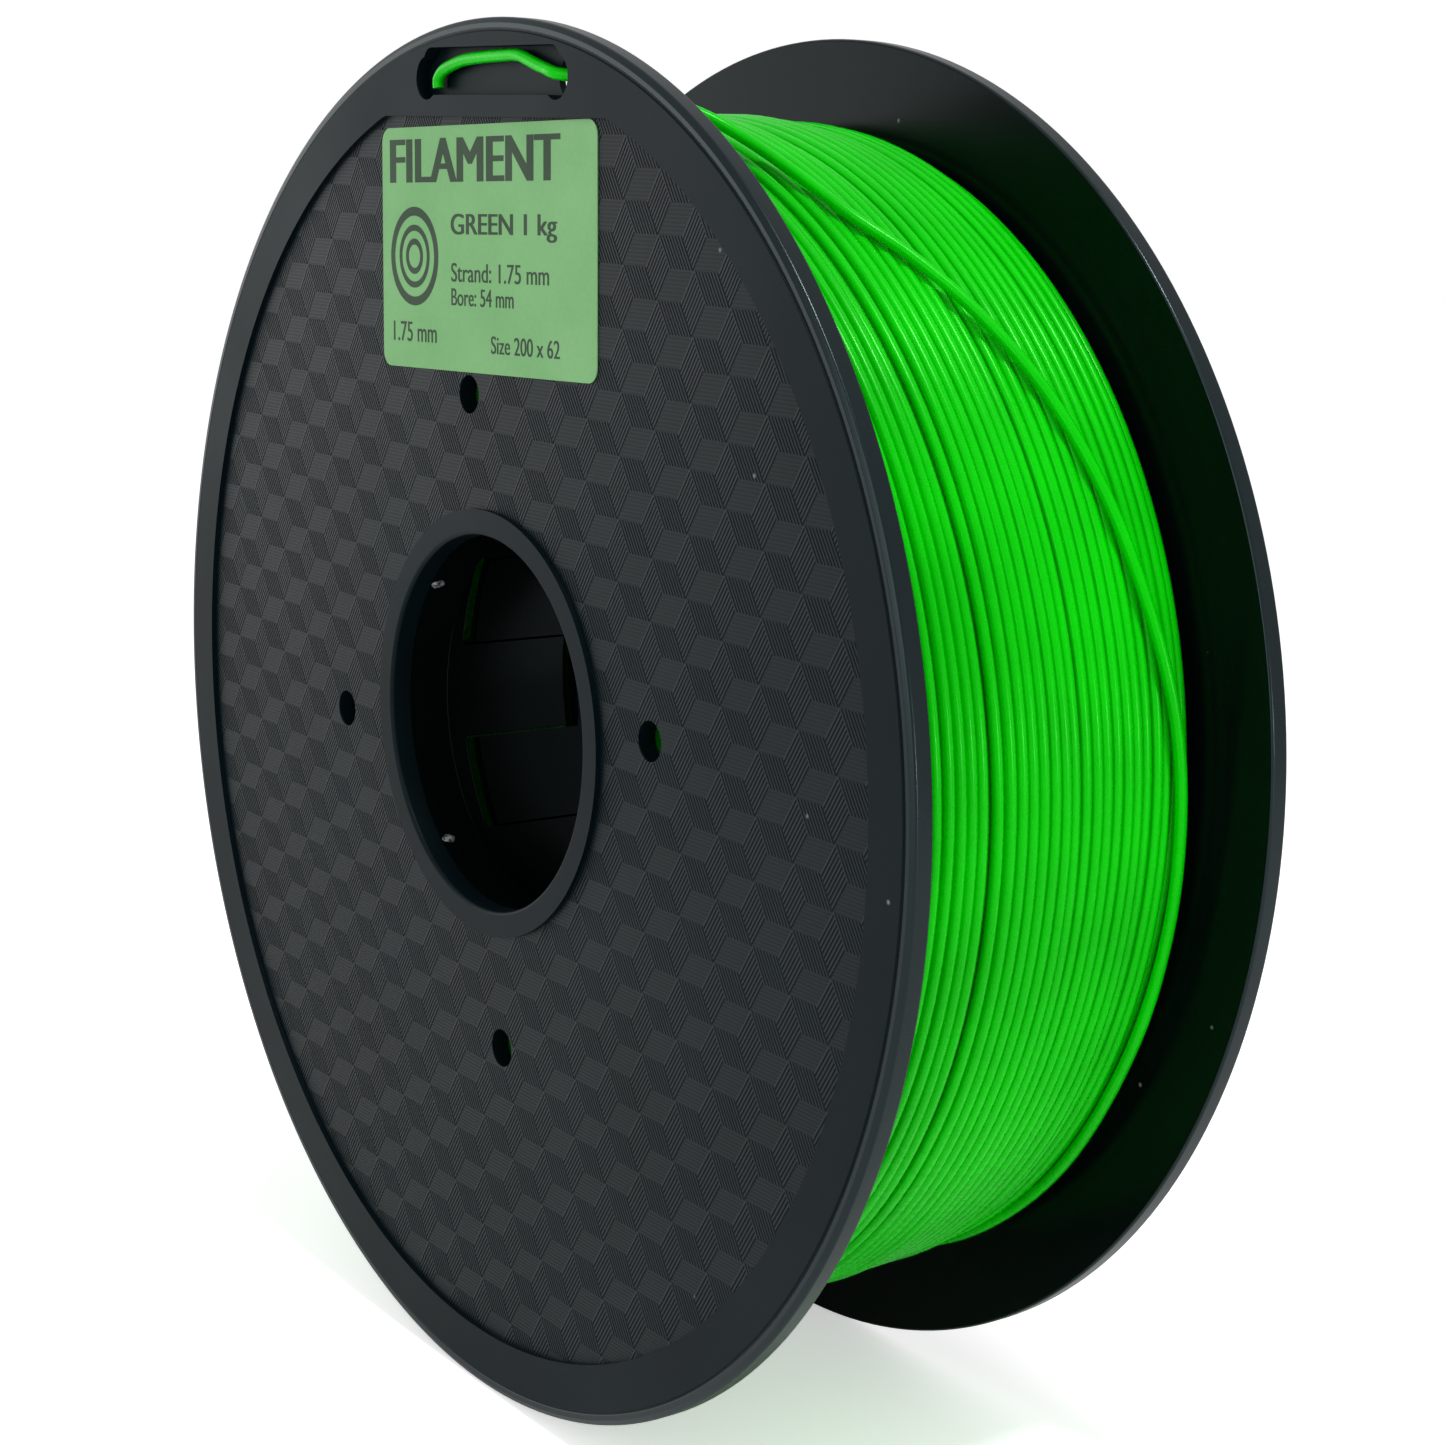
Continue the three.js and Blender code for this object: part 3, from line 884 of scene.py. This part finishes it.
# %% [markdown]
# ### The last turn and the tucked end
# The outermost turn crosses the coil from the rear flange to the front one, goes through the front
# flange, and its tip is tucked into the slot. Its route repeats the points of the CAD tube: first by
# angle, lift off the coil and depth, then in millimetres across, in depth and up.

# %% Route of the filament's end
LAST_TURN = [
    (-85, -1.9, 57.6), (-72, -1.3, 57.2), (-57, -0.7, 56.5), (-40, -0.3, 55.6), (-22.5, 0, 54.8),
    (-11.1, 0, 54.9), (-2.4, 0, 54.4), (4.8, 0, 53.5), (11.3, 0, 51.6), (20.1, 0, 48.5), (27.9, 0, 45.8),
    (36.7, 0, 41.8), (44.5, 0, 36.8), (50.9, 0, 31.7), (56.5, 0, 26.6), (63.1, 0.25, 23.6),
    (69.2, 0.75, 21.4), (72.4, 1.95, 18.3), (75, 3.45, 13), (76.8, 4.95, 8.4),
]
IN_SLOT = 1.025
TUCKED_END = [
    (19.5, 4.6, 91.7), (18.3, 2.8, 91.9), (16.2, 1.1, 92.2), (13.6, IN_SLOT, 92.8), (11.2, IN_SLOT, 93.4),
    (8.8, IN_SLOT, 94.1), (6.3, IN_SLOT, 94.7), (1.2, IN_SLOT, 94.7), (-4.3, IN_SLOT, 94.5),
    (-8.7, IN_SLOT, 94.2), (-12.3, IN_SLOT, 93.5), (-14.8, IN_SLOT, 92.7), (-16.1, IN_SLOT, 91.5),
    (-16, IN_SLOT, 90.3),
]


def smooth_through(points, per_span=8):
    ends = [2 * points[0] - points[1], *points, 2 * points[-1] - points[-2]]
    route = []
    for span in zip(ends, ends[1:], ends[2:], ends[3:]):
        t = [0.0]
        for a, b in zip(span, span[1:]):
            t.append(t[-1] + math.sqrt((b - a).length))
        for k in range(per_span):
            at = t[1] + (t[2] - t[1]) * k / per_span
            near = [span[i].lerp(span[i + 1], (at - t[i]) / (t[i + 1] - t[i])) for i in range(3)]
            far = [near[i].lerp(near[i + 1], (at - t[i]) / (t[i + 2] - t[i])) for i in range(2)]
            route.append(far[0].lerp(far[1], (at - t[1]) / (t[2] - t[1])))
    return [*route, points[-1]]


REST_GAP = 0.25


def on_coil(degrees, lift, depth):
    angle, y = math.radians(degrees), depth * MM - HALF_WIDTH
    radius = WOUND + crown_rise(y) + STRAND / 2 + (REST_GAP + lift) * MM
    return Vector((radius * math.cos(angle), y, radius * math.sin(angle)))


angle, across, radius = strand_centre(TURNS, TURNS, 0.0, 0.0)
points = [Vector((radius * math.cos(angle), across, radius * math.sin(angle)))]
points += [on_coil(*p) for p in LAST_TURN]
points += [Vector((x * MM, depth * MM - HALF_WIDTH, z * MM)) for x, depth, z in TUCKED_END]
route = smooth_through(points)
print("last turn and tucked end:", round(sum((b - a).length for a, b in zip(route, route[1:])), 4), "m")

# %% [markdown]
# A curve along the route is given the strand's thickness and made a mesh.

# %% The filament's end
curve = bpy.data.curves.new("filament_last_turn", "CURVE")
curve.dimensions = "3D"
spline = curve.splines.new("POLY")
spline.points.add(len(route) - 1)
for place, point in zip(spline.points, route):
    place.co = (*point, 1)
curve.bevel_depth = STRAND / 2
curve.bevel_resolution = 4
curve.use_fill_caps = True
last_turn = bpy.data.objects.new("filament_last_turn", curve)
bpy.context.scene.collection.objects.link(last_turn)
only(last_turn)
bpy.ops.object.convert(target="MESH")
last_turn.data.materials.append(FILAMENT)
finish_piece(last_turn, "filament_end", angle=60)

# %% [markdown]
# ### Gate marks
# Plastic was let into the mould at four points inside the front bore lip. Each point carries a small
# pimple, coloured a pale grey mottled with black, paler than the moulded skin. One is shaped from a sphere
# and copied round the axis.

# %% Pale specks
# a pale grey, mixed into the black by noise, on the four pimples
PALE_SPECK_GREY = (0.3, 0.31, 0.31, 1)


def pale_speck_plastic():
    material, tree, shader, place = new_material("pale speck plastic")
    rough = node(tree, "ShaderNodeTexNoise", {"Vector": place, "Scale": 1800.0, "Detail": 5.0})
    grey = blend_colour(tree, ramp(tree, rough.outputs["Fac"], 0.4, 0.62), BLACK, PALE_SPECK_GREY)
    tree.links.new(grey, shader.inputs["Base Color"])
    tree.links.new(ramp(tree, rough.outputs["Fac"], 0, 1, 0.5, 0.9), shader.inputs["Roughness"])
    raise_surface(tree, shader, rough.outputs["Fac"], 1.0, 0.1 * MM)
    return material


PALE_SPECK = pale_speck_plastic()
print("gate material:", PALE_SPECK.name)

# %% [markdown]
# The sphere is flattened against the lip and made uneven with two waves, before it is copied.

# %% Gate marks
GATE_DEPTH = 4.5 * MM
GATE_ANGLES = [math.radians(51 + 90 * k) for k in range(4)]
GATE_SHAPE = (0.32, 1.0, 0.75)
bpy.ops.object.select_all(action="DESELECT")
bpy.ops.mesh.primitive_ico_sphere_add(subdivisions=3, radius=1 * MM, location=(0, 0, 0))
gate = bpy.context.object
for vertex in gate.data.vertices:
    bumpy = 1 + 0.22 * math.sin(5200 * vertex.co.x + 1) * math.sin(4300 * vertex.co.y)
    vertex.co = Vector([v * share for v, share in zip(vertex.co, GATE_SHAPE)]) * bumpy
marks = []
for angle in GATE_ANGLES:
    mark = bpy.data.objects.new("gate_mark", gate.data.copy())
    bpy.context.scene.collection.objects.link(mark)
    mark.rotation_euler = (0, -angle, 0)
    mark.location = (BORE * math.cos(angle), GATE_DEPTH - HALF_WIDTH, BORE * math.sin(angle))
    apply_place(mark)
    marks.append(mark)
bpy.data.objects.remove(gate)
gate_marks = join(marks, marks[0], "gate_marks")
gate_marks.data.materials.append(PALE_SPECK)
only(gate_marks)
bpy.ops.object.shade_smooth()
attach(gate_marks, "root")
print(gate_marks.name, len(marks), "marks")

# %% [markdown]
# ### The label
# A sheet of paper with round corners, laid in the sunk field under its flat top, and tilted by a
# degree or two, as a hand-laid label is.

# %% Label sheet
LABEL_WIDE, LABEL_TALL, LABEL_ROUND = 60 * MM, 35 * MM, 2.2 * MM
LABEL_THICK = 0.15 * MM
LABEL_TILT = math.radians(1.8)
label_low, label_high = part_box("label")
label_middle = Vector((
    (label_low.x + label_high.x) / 2, FRONT_FACE + FIELD_SINK, (label_low.z + label_high.z) / 2,
))


def lay_on_field(piece, lift):
    piece.rotation_euler = (math.pi / 2, -LABEL_TILT, 0)
    piece.location = label_middle + Vector((0, -lift, 0))
    apply_place(piece)


bpy.ops.object.select_all(action="DESELECT")
bpy.ops.mesh.primitive_plane_add(size=1)
sheet = bpy.context.object
sheet.name = "paper_label"
sheet.scale = (LABEL_WIDE, LABEL_TALL, 1)
apply_place(sheet)
bpy.ops.object.mode_set(mode="EDIT")
bpy.ops.mesh.select_all(action="SELECT")
bpy.ops.mesh.bevel(offset=LABEL_ROUND, segments=8, affect="VERTICES")
bpy.ops.mesh.select_all(action="SELECT")
bpy.ops.mesh.extrude_region_move(TRANSFORM_OT_translate={"value": (0, 0, LABEL_THICK)})
bpy.ops.mesh.select_all(action="SELECT")
bpy.ops.mesh.normals_make_consistent(inside=False)
bpy.ops.object.mode_set(mode="OBJECT")
lay_on_field(sheet, 0)
sheet.data.materials.append(LABEL_PAPER)
finish_piece(sheet, "label")

# %% [markdown]
# ### The label's print
# Its print is generic: what the spool holds, how much of it, its sizes, and three rings as a sign for
# a coil. Text is made a mesh, stretched to the size its line has on the label, and given a hair of
# thickness. Heavier letters come from copies that are shifted sideways, which suits any glyph, where
# a text offset would spoil those with sharp corners.

# %% Ink helpers
INK_THICK = 0.012 * MM
STACK_LIFT = 0.001 * MM


def ink_solid(name):
    piece = bpy.context.object
    piece.name = name
    only(piece)
    if piece.type == "FONT":
        bpy.ops.object.convert(target="MESH")
        bpy.ops.object.transform_apply(location=True, rotation=True, scale=True)
    bpy.ops.object.mode_set(mode="EDIT")
    bpy.ops.mesh.select_all(action="SELECT")
    bpy.ops.mesh.extrude_region_move(TRANSFORM_OT_translate={"value": (0, 0, INK_THICK)})
    bpy.ops.mesh.select_all(action="SELECT")
    bpy.ops.mesh.normals_make_consistent(inside=False)
    bpy.ops.object.mode_set(mode="OBJECT")
    return piece


def words(text, left, bottom, wide, tall, bold):
    bpy.ops.object.select_all(action="DESELECT")
    bpy.ops.object.text_add()
    made = bpy.context.object
    made.data.body = text
    bpy.context.view_layer.update()
    corners = [Vector(c) for c in made.bound_box]
    least = Vector((min(c.x for c in corners), min(c.y for c in corners), 0))
    most = Vector((max(c.x for c in corners), max(c.y for c in corners), 0))
    stretch = (wide / (most.x - least.x), tall / (most.y - least.y))
    made.scale = (stretch[0], stretch[1], 1)
    made.location = (left - least.x * stretch[0], bottom - least.y * stretch[1], 0)
    first = ink_solid("words")
    stack = [first]
    for k, shift in enumerate((-bold / 2, bold / 2)):
        again = bpy.data.objects.new("words", first.data.copy())
        bpy.context.scene.collection.objects.link(again)
        again.location = (shift, 0, STACK_LIFT * (k + 1))
        apply_place(again)
        stack.append(again)
    return stack


def ring(x, y, outer, inner):
    bpy.ops.object.select_all(action="DESELECT")
    bpy.ops.mesh.primitive_circle_add(vertices=48, radius=outer, fill_type="NGON", location=(x, y, 0))
    apply_place(bpy.context.object)
    bpy.ops.object.mode_set(mode="EDIT")
    bpy.ops.mesh.select_all(action="SELECT")
    bpy.ops.mesh.inset(thickness=outer - inner)
    bpy.ops.mesh.delete(type="FACE")
    bpy.ops.object.mode_set(mode="OBJECT")
    return ink_solid("ring")


# %% [markdown]
# A table gives each line of print: its words, left end, foot, width, height and how much heavier the
# letters are made, in millimetres from the label's middle.

# %% Label print
LABEL_LINES = (
    ("FILAMENT", -27.2, 9.5, 47.5, 6.3, 0.9),
    ("GREEN 1 kg", -9.3, 1.1, 29, 3.9, 0.35),
    ("Strand: 1.75 mm", -9.3, -4.7, 27, 2.7, 0.15),
    ("Bore: 54 mm", -9.3, -8.1, 17.5, 2.5, 0.15),
    ("1.75 mm", -26.8, -13.7, 13, 2.9, 0.15),
    ("Size 200 x 62", 2.0, -14.6, 18.5, 2.5, 0.15),
)
RING_X, RING_Y = -20.3 * MM, -1.2 * MM
RINGS = ((7.2, 5.9), (4.6, 3.7), (2.6, 1.7))
ink = []
for text, *place in LABEL_LINES:
    ink += words(text, *(v * MM for v in place))
for outer, inner in RINGS:
    ink.append(ring(RING_X, RING_Y, outer * MM, inner * MM))
print_layer = join(ink, ink[0], "label_print")
lay_on_field(print_layer, LABEL_THICK)
print_layer.data.materials.clear()
print_layer.data.materials.append(LABEL_INK)
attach(print_layer, "root")
print(print_layer.name, len(print_layer.data.polygons), "faces")

# %% [markdown]
# ## Floor and light
# The spool stands on a pale matt floor. The camera sees a little extra glow on it, so that it fades
# into the white behind, and it still takes the spool's shadow.

# %% Floor
FLOOR_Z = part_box("front_flange")[0].z
FLOOR_GLOW = 0.5
bpy.ops.object.select_all(action="DESELECT")
bpy.ops.mesh.primitive_plane_add(size=6, location=(0, 0, FLOOR_Z))
floor = bpy.context.object
floor.name = "floor"
floor_material, tree, shader, place = new_material("pale floor")
mottle = node(tree, "ShaderNodeTexNoise", {"Vector": place, "Scale": 6.0})
tone = blend_colour(tree, mottle.outputs["Fac"], (0.90, 0.90, 0.90, 1), (0.93, 0.93, 0.93, 1))
tree.links.new(tone, shader.inputs["Base Color"])
shader.inputs["Roughness"].default_value = 0.9
shader.inputs["Emission Color"].default_value = (1, 1, 1, 1)
seen = tree.nodes.new("ShaderNodeLightPath").outputs["Is Camera Ray"]
tree.links.new(calculate(tree, "MULTIPLY", seen, FLOOR_GLOW), shader.inputs["Emission Strength"])
floor.data.materials.append(floor_material)
print("floor at", FLOOR_Z)

# %% [markdown]
# The surround looks white to the camera and lights the spool at an even, lower level. Two small
# lamps, one high and one low on the right, draw the bright streaks along the strands and on the
# rim. Two large soft ones, in front and on the left, lift the black face and the label.

# %% World and lamps
SURROUND = 0.6
world = bpy.data.worlds.new("studio")
bpy.context.scene.world = world
world.use_nodes = True
tree = world.node_tree
tree.nodes.clear()
soft = node(tree, "ShaderNodeBackground", {"Color": (1, 1, 1, 1), "Strength": SURROUND})
white = node(tree, "ShaderNodeBackground", {"Color": (1, 1, 1, 1), "Strength": 1.0})
rays = tree.nodes.new("ShaderNodeLightPath")
seen = calculate(tree, "MAXIMUM", rays.outputs["Is Camera Ray"], rays.outputs["Is Transmission Ray"])
mixed = node(tree, "ShaderNodeMixShader", {0: seen})
tree.links.new(soft.outputs[0], mixed.inputs[1])
tree.links.new(white.outputs[0], mixed.inputs[2])
output = tree.nodes.new("ShaderNodeOutputWorld")
tree.links.new(mixed.outputs[0], output.inputs[0])


def lamp(name, place, size, watts):
    light = bpy.data.lights.new(name, "AREA")
    light.shape, light.size, light.size_y, light.energy = "RECTANGLE", *size, watts
    made = bpy.data.objects.new(name, light)
    bpy.context.scene.collection.objects.link(made)
    made.location = place
    made.rotation_euler = (-Vector(place)).to_track_quat("-Z", "Y").to_euler()


lamp("overhead", (0.36, -0.06, 0.85), (0.13, 0.08), 4.0)
lamp("low_right", (0.78, 0.16, 0.02), (0.08, 0.05), 0.8)
lamp("front", (0.35, -1.1, 0.35), (0.8, 0.8), 4.0)
lamp("left", (-1.1, -0.5, 0.12), (0.8, 0.5), 1.6)

bpy.context.scene.view_settings.view_transform = "Standard"
print("lamps:", [light.name for light in bpy.data.lights])
